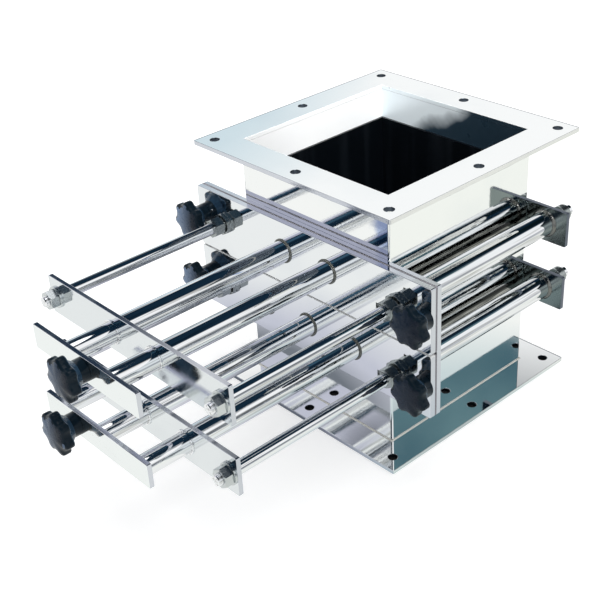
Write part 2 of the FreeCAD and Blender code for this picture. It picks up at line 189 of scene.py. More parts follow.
mirror_sheet = mirror_finish("mirror sheet")
# Flange undersides: mill finished, painted dark for the shade under the flanges, and painted pale right of
# the chute, a painted light.
mill_and_shade_sheet = steel_finish("mill and shade sheet", (0.16, 0.19, 0.23), (0.10, 0.13, 0.16), 0.25, 0.1, 0.6, 0.5)
mill_tree = mill_and_shade_sheet.node_tree
mill_x = split_place(mill_tree, places_on(mill_and_shade_sheet))["X"]
tint(mill_and_shade_sheet, add_range(mill_tree, mill_x, 0.110, 0.114), (0.92, 0.92, 0.90))
cut_edge = steel_finish("cut edge", (0.66, 0.68, 0.74), (0.52, 0.55, 0.60), 0.10, 0.08, 0.8, 0.5)
# The flanges' right sides: a pale copy of the cut edge, painted light.
lit_edge = steel_finish("lit edge", (0.93, 0.93, 0.91), (0.84, 0.84, 0.82), 0.12, 0.08, 0.8, 0.5)
# Bolt hole walls: drilled, and painted near black for the shade inside the holes.
drilled_and_shaded_edge = steel_finish("drilled and shaded edge", (0.10, 0.12, 0.15), (0.06, 0.07, 0.09), 0.3, 0.1, 1.0, 0.5)
# The flanges' left and back rims and the rear straps' edges: a dark copy of the cut edge, painted shade.
shaded_edge = steel_finish("shaded edge", (0.14, 0.16, 0.20), (0.08, 0.10, 0.13), 0.3, 0.1, 1.0, 0.5)
inner_sheet = steel_finish("inner sheet", (0.97, 0.98, 0.98), (0.94, 0.95, 0.96), 0.55, 0.05, 0.3, 0.2, 0.1)
# Back of the chute's top band: painted shadow, dark past a slanting line with a rippled edge.
inner_back, inner_shader, inner_place = new_material("inner back sheet")
inner_tree = inner_back.node_tree
inner_parts = split_place(inner_tree, inner_place)
shadow_line = add_range(inner_tree, inner_parts["Z"], 0.264, 0.300, -0.055, 0.020)
past_line = add_math(inner_tree, "SUBTRACT", inner_parts["X"], shadow_line)
ripple = add_range(inner_tree, add_noise(inner_tree, inner_place, 25), 0.3, 0.7, -0.012, 0.012)
shade = add_range(inner_tree, add_math(inner_tree, "ADD", past_line, ripple), -0.022, 0.022)
inner_tree.links.new(add_mix(inner_tree, shade, (0.84, 0.92, 0.96), (0.018, 0.038, 0.058)),
                     inner_shader.inputs["Base Color"])
inner_tree.links.new(add_range(inner_tree, add_noise(inner_tree, inner_place, 30), 0.3, 0.7, 0.25, 0.4),
                     inner_shader.inputs["Roughness"])
inner_shader.inputs["Metallic"].default_value = 0.3


def open_alone(piece):
    """Selects only this piece and opens it for editing."""
    bpy.ops.object.select_all(action="DESELECT")
    piece.select_set(True)
    bpy.context.view_layer.objects.active = piece
    bpy.ops.object.mode_set(mode="EDIT")


def pick(piece, kind, wanted):
    """In edit mode, selects only the faces, edges or points that the test accepts."""
    bpy.ops.mesh.select_mode(type=kind)
    bpy.ops.mesh.select_all(action="DESELECT")
    mesh = bmesh.from_edit_mesh(piece.data)
    for part in {"FACE": mesh.faces, "EDGE": mesh.edges, "VERT": mesh.verts}[kind]:
        if wanted(part):
            part.select_set(True)
    mesh.select_flush_mode()
    bmesh.update_edit_mesh(piece.data)


def newest(name):
    """The piece that was just added, named and with its place in its mesh."""
    piece = bpy.context.object
    bpy.ops.object.transform_apply(location=True, rotation=True, scale=True)
    piece.name = name
    piece.data.name = name
    return piece


def block(name, low, high):
    """A block between two corners."""
    bpy.ops.object.select_all(action="DESELECT")
    low, high = Vector(low), Vector(high)
    bpy.ops.mesh.primitive_cube_add(size=1, location=(low + high) / 2)
    bpy.context.object.scale = high - low
    return newest(name)


def round_corners(piece, axis, radius):
    """Rounds the outer edges that run along the axis, 0 for X, 1 for Y and 2 for Z."""
    corners = [Vector(corner) for corner in piece.bound_box]
    middle = sum(corners, Vector()) / 8

    def on_corner(edge):
        start, end = (point.co for point in edge.verts)
        along = abs((end - start).normalized()[axis]) > 0.99
        out = [abs(start[n] - middle[n]) - abs(corners[0][n] - middle[n]) for n in range(3) if n != axis]
        return along and min(out) > -0.0001
    open_alone(piece)
    pick(piece, "EDGE", on_corner)
    bpy.ops.mesh.bevel(offset=radius, segments=4, affect="EDGES")
    bpy.ops.object.mode_set(mode="OBJECT")


def open_up(piece, wall):
    """Opens the block from bottom to top, with a wall of one thickness all round."""
    open_alone(piece)
    pick(piece, "FACE", lambda face: abs(face.normal.z) > 0.9)
    bpy.ops.mesh.inset(thickness=wall)
    bpy.ops.mesh.bridge_edge_loops()
    bpy.ops.object.mode_set(mode="OBJECT")


def cut(piece, tool, operation="DIFFERENCE"):
    """Cuts the piece with a tool piece, which is used up."""
    modifier = piece.modifiers.new("cut", "BOOLEAN")
    modifier.operation = operation
    modifier.solver = "EXACT"
    modifier.object = tool
    bpy.context.view_layer.objects.active = piece
    bpy.ops.object.modifier_apply(modifier="cut")
    bpy.data.meshes.remove(tool.data)


def drill(piece, centres, radius, depth=0.03, turn=(math.pi / 2, 0, 0)):
    """Drills a round hole through the piece at each centre, along Y unless turned."""
    for centre in centres:
        bpy.ops.object.select_all(action="DESELECT")
        bpy.ops.mesh.primitive_cylinder_add(vertices=64, radius=radius, depth=depth, location=centre,
                                            rotation=turn)
        cut(piece, newest("drill"))


def keep_flat(piece):
    """Shades the large faces flat up to the roundings beside them."""
    modifier = piece.modifiers.new("normals", "WEIGHTED_NORMAL")
    modifier.keep_sharp = True
    bpy.context.view_layer.objects.active = piece
    bpy.ops.object.modifier_apply(modifier="normals")


def soften(piece, width, smooth=20):
    """Breaks the sharp edges with a small bevel and smooths what is nearly flat."""
    modifier = piece.modifiers.new("edges", "BEVEL")
    modifier.width = width
    modifier.segments = 2
    modifier.limit_method = "ANGLE"
    modifier.angle_limit = math.radians(40)
    modifier.use_clamp_overlap = False
    bpy.ops.object.select_all(action="DESELECT")
    piece.select_set(True)
    bpy.context.view_layer.objects.active = piece
    bpy.ops.object.modifier_apply(modifier="edges")
    bpy.ops.object.shade_smooth_by_angle(angle=math.radians(smooth))
    keep_flat(piece)


def finish_plate(piece, axis, face_finish, edge_finish):
    """Gives the broad faces across the axis one finish and all others another."""
    piece.data.materials.clear()
    piece.data.materials.append(face_finish)
    piece.data.materials.append(edge_finish)
    for face in piece.data.polygons:
        face.material_index = 0 if abs(face.normal[axis]) > 0.99 else 1


def paint(piece, face, finish):
    """Gives one face a finish that the piece already has in a slot."""
    face.material_index = piece.data.materials.find(finish.name)


def fit(piece, body, slot, *nodes):
    """The piece rides on the body and stands for the nodes. The slot is not used."""
    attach(piece, body)
    if nodes:
        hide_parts(*nodes)


flange_width = 0.040
flange_corner = 0.002
bolt_reach = 0.133
bolt_hole_radius = 0.0055
plate_bevel = 0.0004
rim_band = 0.0007
flange_mirror = mirror_finish("flange mirror")
flange_tree = flange_mirror.node_tree
flange_parts = split_place(flange_tree, places_on(flange_mirror))
flange_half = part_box("top_flange")[1].x
opening_half = flange_half - flange_width
# Painted shade: a dark line along the left and back rims of each flange's face.
from_left = add_math(flange_tree, "ADD", flange_parts["X"], flange_half)
from_back = add_math(flange_tree, "SUBTRACT", flange_half, flange_parts["Y"])
from_shaded_rim = add_math(flange_tree, "MINIMUM", from_left, from_back)
tint(flange_mirror, add_range(flange_tree, from_shaded_rim, 0.0012, 0.0020, 1.0, 0.0), (0.16, 0.18, 0.21))
for level in ("bottom", "top"):
    node = level + "_flange"
    low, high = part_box(node)
    plate = block(level + "_flange_plate", low, high)
    open_up(plate, flange_width)
    round_corners(plate, 2, flange_corner)
    middle = (low.z + high.z) / 2
    bolt_places = [(bolt_reach * column, bolt_reach * row, middle) for column in (-1, 0, 1)
                   for row in (-1, 0, 1) if column or row]
    drill(plate, bolt_places, bolt_hole_radius, turn=(0, 0, 0))
    soften(plate, plate_bevel)
    finish_plate(plate, 2, flange_mirror, cut_edge)
    for finish in (drilled_and_shaded_edge, mill_and_shade_sheet, shaded_edge, inner_sheet, inner_back, lit_edge):
        plate.data.materials.append(finish)
    for face in plate.data.polygons:
        in_hole = any(math.hypot(face.center.x - x, face.center.y - y) < bolt_hole_radius + 0.0007
                      for x, y, z in bolt_places)
        at_rear = face.center.x < low.x + rim_band or face.center.y > high.y - rim_band
        at_right = face.center.x > high.x - rim_band and face.normal.x > 0.1
        in_opening = max(abs(face.center.x), abs(face.center.y)) < opening_half + 0.0008
        if in_hole and abs(face.normal.z) < 0.5:
            paint(plate, face, drilled_and_shaded_edge)
        elif face.normal.z < -0.9:
            paint(plate, face, mill_and_shade_sheet)
        elif at_rear and 0.1 < face.normal.z < 0.95:
            paint(plate, face, shaded_edge)
        elif at_right:
            paint(plate, face, lit_edge)
        elif in_opening and level == "top":
            paint(plate, face, inner_back if face.normal.y < -0.5 else inner_sheet)
    fit(plate, "housing", "polished_steel", node)


# Chute walls
# Four stainless sheets welded into a square shaft between the flanges. The weld at each corner is
# ground round, and the front sheet has a hole for each magnet tube.
wall_inside = 0.110
wall_thickness = 0.003
chute_corner = 0.0025
passage_radius = 0.015
front_low, front_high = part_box("front_wall")
upper_height = (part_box("upper_sleeve_1")[0].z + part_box("upper_sleeve_1")[1].z) / 2
lower_height = (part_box("lower_sleeve_1")[0].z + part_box("lower_sleeve_1")[1].z) / 2
tube_pitch = 0.070
upper_tubes = [(-tube_pitch / 2, upper_height), (tube_pitch / 2, upper_height)]
lower_tubes = [(-tube_pitch, lower_height), (0.0, lower_height), (tube_pitch, lower_height)]
all_tubes = upper_tubes + lower_tubes
wall_outside = wall_inside + wall_thickness
shaft = block("chute_walls", (-wall_outside, -wall_outside, front_low.z),
              (wall_outside, wall_outside, front_high.z))
open_up(shaft, wall_thickness)
round_corners(shaft, 2, chute_corner)
drill(shaft, [(x, front_low.y + wall_thickness / 2, z) for x, z in all_tubes], passage_radius)
bpy.context.view_layer.objects.active = shaft
shaft.select_set(True)
bpy.ops.object.shade_smooth_by_angle(angle=math.radians(25))
keep_flat(shaft)

# Front sheet: painted reflection, a blue patch high up at its right end with a ragged edge.
front_sheet = mirror_finish("front sheet")
front_tree = front_sheet.node_tree
front_parts = split_place(front_tree, places_on(front_sheet))
front_noise = add_noise(front_tree, places_on(front_sheet), 60)
patch_edge = add_range(front_tree, front_noise, 0.3, 0.7, -0.006, 0.006)
painted_reflection_patch = add_range(front_tree, add_math(front_tree, "ADD", front_parts["X"], patch_edge), 0.088, 0.100)
high_up = add_range(front_tree, front_parts["Z"], 0.225, 0.250)
tint(front_sheet, add_math(front_tree, "MULTIPLY", painted_reflection_patch, high_up), (0.44, 0.52, 0.72))
# Side sheets: painted shade in a band beside each guide tube, black just above the rod's height and streaked
# grey just below it.
side_sheet = mirror_finish("side sheet")
side_tree = side_sheet.node_tree
side_z = split_place(side_tree, places_on(side_sheet))["Z"]
upper_half = add_math(side_tree, "GREATER_THAN", side_z, (upper_height + lower_height) / 2)
rod_height = add_math(side_tree, "MULTIPLY_ADD", upper_half, upper_height - lower_height, lower_height)
above_rod = add_math(side_tree, "SUBTRACT", side_z, rod_height)
from_gap_shade = add_math(side_tree, "ABSOLUTE", add_math(side_tree, "ADD", above_rod, 0.002))
gap_shade = add_range(side_tree, from_gap_shade, 0.0085, 0.0115, 1.0, 0.0)
shade_streaks = add_noise(side_tree, add_stretch(side_tree, places_on(side_sheet), (1, 25, 900)), 1.0, 2.0)
streak_share = add_range(side_tree, shade_streaks, 0.4, 0.6)
streaked_shade = add_mix(side_tree, streak_share, (0.05, 0.055, 0.05), (0.42, 0.42, 0.40))
black_shade_part = add_range(side_tree, above_rod, 0.000, 0.002)
tint(side_sheet, gap_shade, add_mix(side_tree, black_shade_part, streaked_shade, (0.010, 0.012, 0.011)))
for finish in (mirror_sheet, inner_sheet, inner_back, front_sheet, side_sheet):
    shaft.data.materials.append(finish)
for face in shaft.data.polygons:
    inward = max(abs(face.center.x), abs(face.center.y)) < wall_inside + 0.0005
    if inward:
        paint(shaft, face, inner_back if face.normal.y < -0.9 else inner_sheet)
    elif face.normal.y < -0.9:
        paint(shaft, face, front_sheet)
    elif abs(face.normal.x) > 0.9:
        paint(shaft, face, side_sheet)
fit(shaft, "housing", "polished_steel", "front_wall", "back_wall", "left_wall", "right_wall")

weld_steel = steel_finish("weld steel", (0.92, 0.90, 0.84), (0.84, 0.82, 0.78), 0.3, 0.1, 1.0, 0.5, 0.6)
weld_size = 0.0012
weld_side = wall_outside + weld_size
for level, low_z, high_z in (("bottom", front_low.z, front_low.z + weld_size),
                             ("top", front_high.z - weld_size, front_high.z)):
    bead = block(level + "_weld", (-weld_side, -weld_side, low_z), (weld_side, weld_side, high_z))
    open_up(bead, weld_size - 0.0001)
    open_alone(bead)
    free_z = high_z if level == "bottom" else low_z
    pick(bead, "EDGE", lambda edge: all(abs(point.co.z - free_z) < 0.0001 for point in edge.verts)
         and all(max(abs(point.co.x), abs(point.co.y)) > weld_side - 0.0001 for point in edge.verts))
    bpy.ops.mesh.bevel(offset=weld_size * 0.8, segments=3, affect="EDGES")
    bpy.ops.object.mode_set(mode="OBJECT")
    bead.data.materials.append(weld_steel)
    fit(bead, "housing", "polished_steel")


# Wear liners
# Dark sheets that line the chute below a line 40 mm under its rim. They are cold rolled, a little scuffed,
# and stay as the model has them. Their near-black colour is also painted shade for the deep inside of the
# chute.
liner_steel_and_shade, liner_shader, liner_place = new_material("liner steel and shade")
liner_tree = liner_steel_and_shade.node_tree
liner_noise = add_noise(liner_tree, add_stretch(liner_tree, liner_place, (60, 60, 4)), 1.0, 5.0)
scuffs = add_range(liner_tree, liner_noise, 0.5, 0.75)
liner_tree.links.new(add_mix(liner_tree, scuffs, (0.004, 0.006, 0.009), (0.012, 0.016, 0.022)),
                     liner_shader.inputs["Base Color"])
liner_tree.links.new(add_range(liner_tree, scuffs, 0.0, 1.0, 0.28, 0.45), liner_shader.inputs["Roughness"])
liner_shader.inputs["Metallic"].default_value = 0.6


def dress(node, material):
    """Gives a node that stays as it is its own finish."""
    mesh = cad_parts[node].data
    mesh.materials.clear()
    mesh.materials.append(material)


for side in ("front", "back", "left", "right"):
    dress(side + "_liner", liner_steel_and_shade)


# Frame plate
# A wide plate welded across the chute's front. The covers clamp against it, and the magnet tubes
# and the guide rods pass through it.
rod_reach = 0.137
upper_rods = [(-rod_reach, upper_height), (rod_reach, upper_height)]
lower_rods = [(-rod_reach, lower_height), (rod_reach, lower_height)]
all_rods = upper_rods + lower_rods


def front_plate(name, node, holes):
    """A plate that faces the front, with holes given as lists of places and a radius."""
    low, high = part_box(node)
    plate = block(name, low, high)
    round_corners(plate, 1, 0.002)
    for places, radius in holes:
        drill(plate, [(x, (low.y + high.y) / 2, z) for x, z in places], radius)
    return plate


guide_tube_bore = 0.012
plate = front_plate("frame_front_plate", "frame_plate",
                    [(all_tubes, passage_radius), (all_rods, guide_tube_bore)])
soften(plate, plate_bevel)
finish_plate(plate, 1, mirror_sheet, cut_edge)
fit(plate, "housing", "polished_steel", "frame_plate")


# Gaskets
# A thin sheet of dark grey food grade rubber is pressed between the frame plate and each cover.

def moulded(name, scale, detail, first, second, smooth, rough, specular=0.5):
    """A plastic or rubber with a fine grain in its colour and its gloss."""
    material, shader, place = new_material(name)
    tree = material.node_tree
    grain = add_noise(tree, place, scale, detail)
    tree.links.new(add_mix(tree, grain, first, second), shader.inputs["Base Color"])
    tree.links.new(add_range(tree, grain, 0.3, 0.7, smooth, rough), shader.inputs["Roughness"])
    shader.inputs["Specular IOR Level"].default_value = specular
    return material


gasket_rubber = moulded("gasket rubber", 400, 3.0, (0.24, 0.23, 0.25), (0.32, 0.31, 0.34), 0.5, 0.65)
gasket_tree = gasket_rubber.node_tree
gasket_bump = gasket_tree.nodes.new("ShaderNodeBump")
gasket_bump.inputs["Strength"].default_value = 0.15
gasket_bump.inputs["Distance"].default_value = 0.0003
gasket_tree.links.new(gasket_tree.nodes["Noise Texture"].outputs["Fac"], gasket_bump.inputs["Height"])
gasket_tree.links.new(gasket_bump.outputs["Normal"], gasket_tree.nodes["Principled BSDF"].inputs["Normal"])
knob_reach = 0.174
clamp_hole_radius = 0.00525
gland_spigot_radius = 0.009
gasket_bevel = 0.0006
tiers = (("upper", upper_tubes, upper_rods, upper_height), ("lower", lower_tubes, lower_rods, lower_height))
for tier, tubes, rods, height in tiers:
    knob_places = [(-knob_reach, height), (knob_reach, height)]
    plate = front_plate(tier + "_gasket_sheet", tier + "_gasket",
                        [(tubes, passage_radius), (rods, gland_spigot_radius),
                         (knob_places, clamp_hole_radius)])
    soften(plate, gasket_bevel)
    plate.data.materials.append(gasket_rubber)
    fit(plate, "housing", "gasket_rubber", tier + "_gasket")


# Covers
# A thick buffed plate closes each tier. It carries the wiper rings and the rod glands, and the two
# clamp knobs at its ends hold it on the frame.
cover_mirror = steel_finish("cover mirror", (0.86, 0.88, 0.90), (0.78, 0.81, 0.85), 0.02, 0.02, 0.2, 0.6)
wiper_seat_radius = 0.01355
seam_height = (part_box("lower_cover")[1].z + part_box("upper_cover")[0].z) / 2


def ease_top_edge(piece, width):
    """Rounds the long top edge of the piece's front."""
    front = min(corner[1] for corner in piece.bound_box)
    top = max(corner[2] for corner in piece.bound_box)
    open_alone(piece)
    pick(piece, "EDGE", lambda edge: all(abs(point.co.y - front) < 0.0001 and abs(point.co.z - top) < 0.0001
                                         for point in edge.verts))
    bpy.ops.mesh.bevel(offset=width, segments=4, affect="EDGES")
    bpy.ops.object.mode_set(mode="OBJECT")


cover_bevel = 0.0005
eased_edge = 0.0034
for tier, tubes, rods, height in tiers:
    knob_places = [(-knob_reach, height), (knob_reach, height)]
    plate = front_plate(tier + "_cover_plate", tier + "_cover",
                        [(tubes, wiper_seat_radius), (rods, gland_spigot_radius),
                         (knob_places, clamp_hole_radius)])
    if tier == "lower":
        ease_top_edge(plate, eased_edge)
    soften(plate, cover_bevel)
    finish_plate(plate, 1, cover_mirror, cut_edge)
    plate.data.materials.append(inner_sheet)
    for face in plate.data.polygons:
        if tier == "lower" and face.normal.z > 0.1 and face.normal.y < -0.1:
            paint(plate, face, cover_mirror)
        elif abs(face.center.z - seam_height) < 0.002:
            paint(plate, face, inner_sheet)
    fit(plate, "housing", "polished_steel", tier + "_cover")


# Wiper rings
# A dark grey plastic collar is pressed into each cover round a magnet tube and wipes the tube as
# it slides.

def next_ring(shift, share, middle):
    """Draws the open edge out along Y and resizes it about the middle."""
    bpy.ops.mesh.extrude_edges_move(TRANSFORM_OT_translate={"value": (0, shift, 0)})
    bpy.ops.transform.resize(value=(share, 1, share), center_override=middle)


def turned(name, x, z, outline, hollow=True, steps=96):
    """A piece turned about a line along Y, from an outline of (y, radius) points."""
    bpy.ops.object.select_all(action="DESELECT")
    y, radius = outline[0]
    bpy.ops.mesh.primitive_circle_add(vertices=steps, radius=radius, location=(x, y, z),
                                      rotation=(math.pi / 2, 0, 0))
    piece = newest(name)
    bpy.ops.object.mode_set(mode="EDIT")
    bpy.ops.mesh.select_all(action="SELECT")
    path = outline[1:] + outline[:1] if hollow else outline[1:]
    for next_y, next_radius in path:
        next_ring(next_y - y, next_radius / radius, (x, next_y, z))
        y, radius = next_y, next_radius
    bpy.ops.mesh.select_all(action="SELECT")
    if hollow:
        bpy.ops.mesh.remove_doubles(threshold=0.000005)
    else:
        bpy.ops.mesh.fill_holes(sides=steps)
    bpy.ops.mesh.select_all(action="SELECT")
    bpy.ops.mesh.normals_make_consistent(inside=False)
    bpy.ops.object.mode_set(mode="OBJECT")
    return piece


def copy_of(piece, name, shift):
    """A second piece with its own mesh, moved by the shift."""
    bpy.ops.object.select_all(action="DESELECT")
    piece.select_set(True)
    bpy.context.view_layer.objects.active = piece
    bpy.ops.object.duplicate()
    bpy.context.object.location = shift
    return newest(name)


def at_places(piece, title, places):
    """The piece at the first place and a copy at each other one, with numbered names."""
    copies = [piece]
    for number, (x, z) in enumerate(places[1:], start=2):
        copies.append(copy_of(piece, title + str(number), (x - places[0][0], 0, z - places[0][1])))
    return copies


wiper_plastic = moulded("wiper plastic", 120, 2.0, (0.11, 0.115, 0.10), (0.17, 0.175, 0.16), 0.25, 0.4)
wiper_bore = 0.01255
wiper_rim = 0.01435
small_bevel = 0.0002
tube_x = upper_tubes[0][0]
cover_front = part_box("upper_cover")[0].y
gasket_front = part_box("upper_gasket")[0].y
rim_front = cover_front - 0.0008
ring = turned("wiper_ring_1", tube_x, upper_height,
              [(rim_front, wiper_bore), (rim_front, wiper_rim), (cover_front, wiper_rim),
               (cover_front, wiper_seat_radius), (gasket_front, wiper_seat_radius),
               (gasket_front, wiper_bore)])
soften(ring, small_bevel)
ring.data.materials.append(wiper_plastic)
for each in at_places(ring, "wiper_ring_", all_tubes):
    fit(each, "housing", "wiper_plastic", "wiper_rings")


# Rod glands
# A hexagon body screwed into the cover and a smaller gland nut carry each guide rod. Both are
# turned from hexagon bar.

def hexagon(name, x, z, flats, start, end):
    """A hexagon bar along Y with a corner up and both ends chamfered to its flats."""
    corner = flats / math.sqrt(3)
    bpy.ops.object.select_all(action="DESELECT")
    bpy.ops.mesh.primitive_cylinder_add(vertices=6, radius=corner, depth=end - start,
                                        location=(x, (start + end) / 2, z), rotation=(math.pi / 2, 0, 0))
    bar = newest(name)
    chamfer = (corner - flats / 2) * 0.6
    blank = turned("blank", x, z, [(start, flats / 2), (start + chamfer, corner + 0.00001),
                                   (end - chamfer, corner + 0.00001), (end, flats / 2)], hollow=False)
    cut(bar, blank, "INTERSECT")
    return bar


hexagon_steel = steel_finish("hexagon steel", (0.38, 0.41, 0.41), (0.27, 0.29, 0.30), 0.20, 0.1, 0.6, 0.4)
rod_bore = 0.00705
gland_body_flats = 0.024
gland_nut_flats = 0.020
gland_nut_bore = 0.0073
neck_radius = 0.008
shoulder_radius = 0.0085
turned_bevel = 0.0003
gland_body_front = cover_front - 0.005
gland_neck_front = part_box("gland_bodies")[0].y
gland_nut_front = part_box("gland_nuts")[0].y
gland_nut_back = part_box("gland_nuts")[1].y
frame_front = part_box("frame_plate")[0].y
first_x, first_z = upper_rods[0]
body = hexagon("gland_body_1", first_x, first_z, gland_body_flats, gland_body_front, cover_front)
drill(body, [(first_x, (gland_body_front + cover_front) / 2, first_z)], rod_bore)
soften(body, turned_bevel)
neck = turned("gland_neck_1", first_x, first_z,
              [(gland_neck_front, rod_bore), (gland_neck_front, neck_radius),
               (gland_body_front, neck_radius), (gland_body_front, shoulder_radius),
               (cover_front, shoulder_radius), (cover_front, gland_spigot_radius),
               (frame_front, gland_spigot_radius), (frame_front, rod_bore)])
soften(neck, small_bevel)
nut = hexagon("gland_nut_1", first_x, first_z, gland_nut_flats, gland_nut_front, gland_nut_back)
drill(nut, [(first_x, (gland_nut_front + gland_nut_back) / 2, first_z)], gland_nut_bore)
soften(nut, turned_bevel)
gland_parts = [(body, "gland_body_", "gland_bodies"), (neck, "gland_neck_", "gland_bodies"),
               (nut, "gland_nut_", "gland_nuts")]
for part, title, node in gland_parts:
    part.data.materials.append(hexagon_steel)
    part.data.materials.append(hexagon_steel)
    for each in at_places(part, title, all_rods):
        fit(each, "housing", "polished_steel", node)


# Star knobs
# Glossy black moulded knobs with seven lobes and a round hub. Four clamp the covers on threaded
# studs, and one on each outer strap pulls the magnet cores.
knob_black = moulded("knob black", 90, 3.0, (0.005, 0.012, 0.019), (0.009, 0.019, 0.030), 0.10, 0.20, 0.12)
# Backs of the knob heads: a blue painted reflection on the black plastic.
knob_back_sheen = moulded("knob back sheen", 90, 3.0, (0.022, 0.050, 0.088), (0.036, 0.078, 0.130), 0.15, 0.30, 0.3)
# Knob faces: painted sheen, pale blue on the knobs at the left, dark towards the right, and darker on each
# knob's right side.
knob_face, face_shader, face_place = new_material("knob face")
face_tree = knob_face.node_tree
face_x = split_place(face_tree, face_place)["X"]
wide = add_range(face_tree, face_x, -0.175, 0.12)
sheen = add_mix(face_tree, wide, (0.19, 0.27, 0.41), (0.014, 0.027, 0.050))
beside = add_math(face_tree, "SUBTRACT", face_x, -knob_reach)
nearest = add_math(face_tree, "ABSOLUTE", beside)
for middle in (-tube_pitch / 2, 0.0, knob_reach):
    from_middle = add_math(face_tree, "SUBTRACT", face_x, middle)
    distance = add_math(face_tree, "ABSOLUTE", from_middle)
    closer = add_math(face_tree, "LESS_THAN", distance, nearest)
    this_knob = add_math(face_tree, "MULTIPLY", closer, from_middle)
    farther = add_math(face_tree, "SUBTRACT", 1.0, closer)
    beside = add_math(face_tree, "ADD", this_knob, add_math(face_tree, "MULTIPLY", farther, beside))
    nearest = add_math(face_tree, "MINIMUM", nearest, distance)
turned_away = add_range(face_tree, beside, -0.014, 0.012)
face_colour = add_mix(face_tree, turned_away, sheen, (0.008, 0.014, 0.026))
face_tree.links.new(face_colour, face_shader.inputs["Base Color"])
face_grain = add_noise(face_tree, face_place, 300, 2.0)
face_tree.links.new(add_range(face_tree, face_grain, 0.3, 0.7, 0.24, 0.34), face_shader.inputs["Roughness"])
face_shader.inputs["Specular IOR Level"].default_value = 0.15

knob_lobes = 7
knob_lobe_steps = 16
knob_radius = 0.024
knob_lobe_radius = 0.005
knob_valley = 0.020
lobe_centre = knob_radius - knob_lobe_radius
half_lobe = math.pi / knob_lobes
across = lobe_centre * math.cos(half_lobe)
valley_bend = lobe_centre ** 2 + knob_valley ** 2 - 2 * across * knob_valley - knob_lobe_radius ** 2
valley_bend = valley_bend / (2 * (knob_lobe_radius + across - knob_valley))
valley_centre = knob_valley + valley_bend


def star_reach(angle):
    """The star's radius at an angle from the middle of a lobe."""
    off = abs((angle + half_lobe) % (2 * half_lobe) - half_lobe)
    from_valley = half_lobe - off
    in_valley = valley_bend ** 2 - (valley_centre * math.sin(from_valley)) ** 2
    on_lobe = knob_lobe_radius ** 2 - (lobe_centre * math.sin(off)) ** 2
    touch = math.atan2(valley_centre * math.sin(half_lobe) * knob_lobe_radius,
                       lobe_centre * valley_bend + valley_centre * math.cos(half_lobe) * knob_lobe_radius)
    if off <= touch and on_lobe >= 0:
        return lobe_centre * math.cos(off) + math.sqrt(on_lobe)
    return valley_centre * math.cos(from_valley) - math.sqrt(max(in_valley, 0.0))


def star_knob(name, x, seat, z):
    """A star knob with its hub on the plane y = seat and its face towards -Y."""
    steps = knob_lobes * knob_lobe_steps
    phases = [star_reach(2 * half_lobe * number / knob_lobe_steps) for number in range(knob_lobe_steps)]
    hub = [(0.0, 0.0055), (0.0, 0.0122), (0.0003, 0.0125), (0.0085, 0.0125), (0.0095, 0.0132),
           (0.0158, 0.0180)]
    head = [(0.0165, 0.93), (0.0170, 0.975), (0.0180, 1.0), (0.0241, 1.0), (0.0254, 0.985), (0.0264, 0.945),
            (0.0271, 0.875), (0.0278, 0.80), (0.0284, 0.65), (0.0289, 0.48), (0.0293, 0.28), (0.0295, 0.10)]
    bpy.ops.object.select_all(action="DESELECT")
    bpy.ops.mesh.primitive_circle_add(vertices=steps, radius=hub[0][1], location=(x, seat, z),
                                      rotation=(math.pi / 2, 0, 0))
    piece = newest(name)
    open_alone(piece)
    bpy.ops.mesh.select_all(action="SELECT")
    height, radius = hub[0]
    for next_height, next_radius in hub[1:]:
        next_ring(height - next_height, next_radius / radius, (x, seat - next_height, z))
        height, radius = next_height, next_radius
    bpy.ops.mesh.extrude_edges_move(TRANSFORM_OT_translate={"value": (0, height - head[0][0], 0)})
    height, size = head[0]
    rim_y = seat - height
    for number, reach in enumerate(phases):
        def in_phase(point):
            turn = math.atan2(point.co.x - x, point.co.z - z) / (2 * half_lobe) * knob_lobe_steps
            return abs(point.co.y - rim_y) < 0.00001 and round(turn) % knob_lobe_steps == number
        pick(piece, "VERT", in_phase)
        share = reach * size / radius
        bpy.ops.transform.resize(value=(share, 1, share), center_override=(x, rim_y, z))
    pick(piece, "VERT", lambda point: abs(point.co.y - rim_y) < 0.00001)
    bpy.ops.mesh.select_mode(type="EDGE")
    for next_height, next_size in head[1:]:
        next_ring(height - next_height, next_size / size, (x, seat - next_height, z))
        height, size = next_height, next_size
    bpy.ops.mesh.select_all(action="SELECT")
    bpy.ops.mesh.fill_holes(sides=steps)
    bpy.ops.mesh.select_all(action="SELECT")
    bpy.ops.mesh.normals_make_consistent(inside=False)
    bpy.ops.object.mode_set(mode="OBJECT")
    bpy.ops.object.shade_smooth_by_angle(angle=math.radians(35))
    for finish in (knob_black, knob_face, knob_back_sheen):
        piece.data.materials.append(finish)
    for face in piece.data.polygons:
        if face.normal.y < -0.9 and face.center.y < seat - 0.027:
            paint(piece, face, knob_face)
        elif face.normal.y > 0.25 and face.center.y < seat - 0.010:
            paint(piece, face, knob_back_sheen)
    return piece


